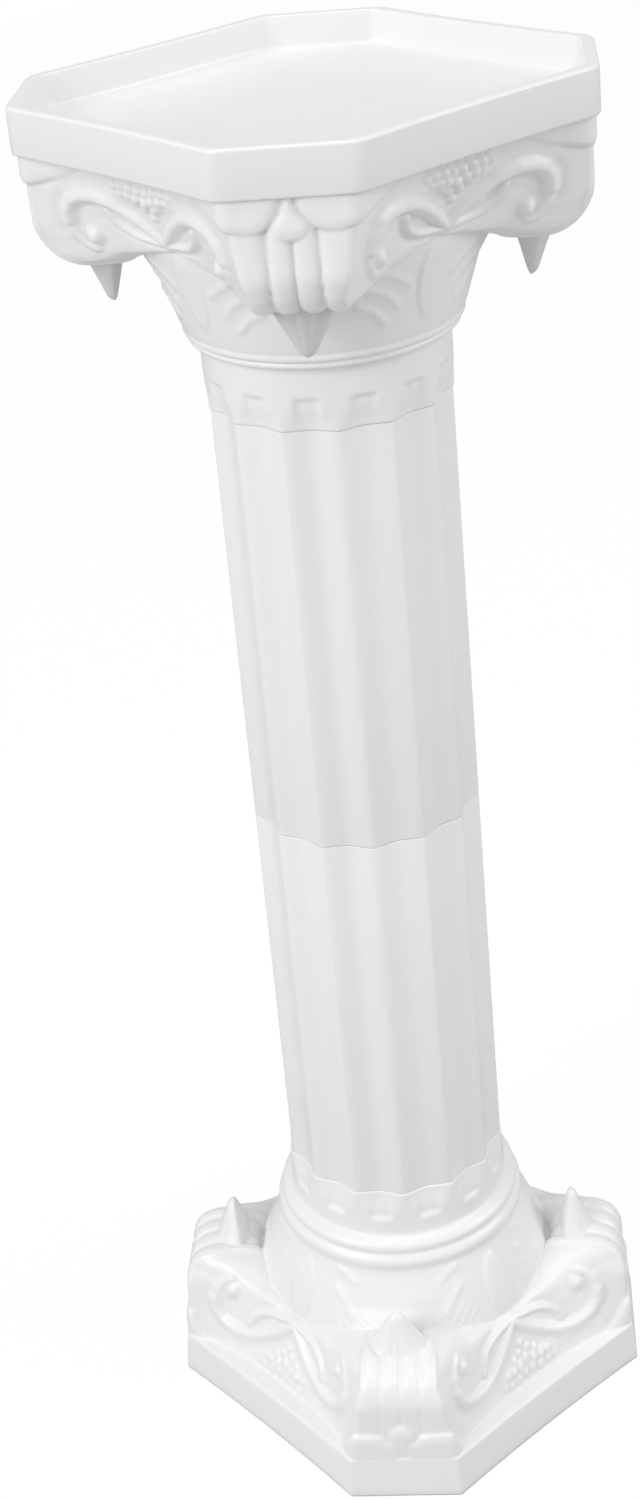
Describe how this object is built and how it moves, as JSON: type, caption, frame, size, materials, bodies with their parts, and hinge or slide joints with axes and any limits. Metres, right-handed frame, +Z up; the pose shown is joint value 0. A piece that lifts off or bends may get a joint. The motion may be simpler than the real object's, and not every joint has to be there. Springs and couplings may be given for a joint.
{
  "type": "pedestal column stand",
  "caption": "White moulded plastic pedestal column: fluted shaft in stacked tubes between a scrolled base and matching capital, with an eight-sided lift-off display tray.",
  "frame": {"origin": "on the floor, under the column's axis, at the centre of the base's underside", "axes": "+Z up along the column; +X and +Y square to two neighbouring straight sides of the base and tray"},
  "size_m": [0.265, 0.265, 0.85],
  "materials": {
    "white_plastic": "smooth glossy white moulded plastic"
  },
  "bodies": {
    "foot_body": {"base": "white_plastic"},
    "lower_tube_body": {"lower_shaft_tube": "white_plastic"},
    "upper_tube_body": {"upper_shaft_tube": "white_plastic"},
    "capital_body": {"capital": "white_plastic"},
    "tray_body": {"tray": "white_plastic"}
  },
  "joints": [
    {"name": "lower_tube_lift", "type": "slide", "parent": "foot_body", "child": "lower_tube_body", "axis": [0, 0, 1], "range_m": [0, 0.04]},
    {"name": "upper_tube_lift", "type": "slide", "parent": "lower_tube_body", "child": "upper_tube_body", "axis": [0, 0, 1], "range_m": [0, 0.04]},
    {"name": "capital_lift", "type": "slide", "parent": "upper_tube_body", "child": "capital_body", "axis": [0, 0, 1], "range_m": [0, 0.04]},
    {"name": "tray_lift", "type": "slide", "parent": "capital_body", "child": "tray_body", "axis": [0, 0, 1], "range_m": [0, 0.05]}
  ]
}
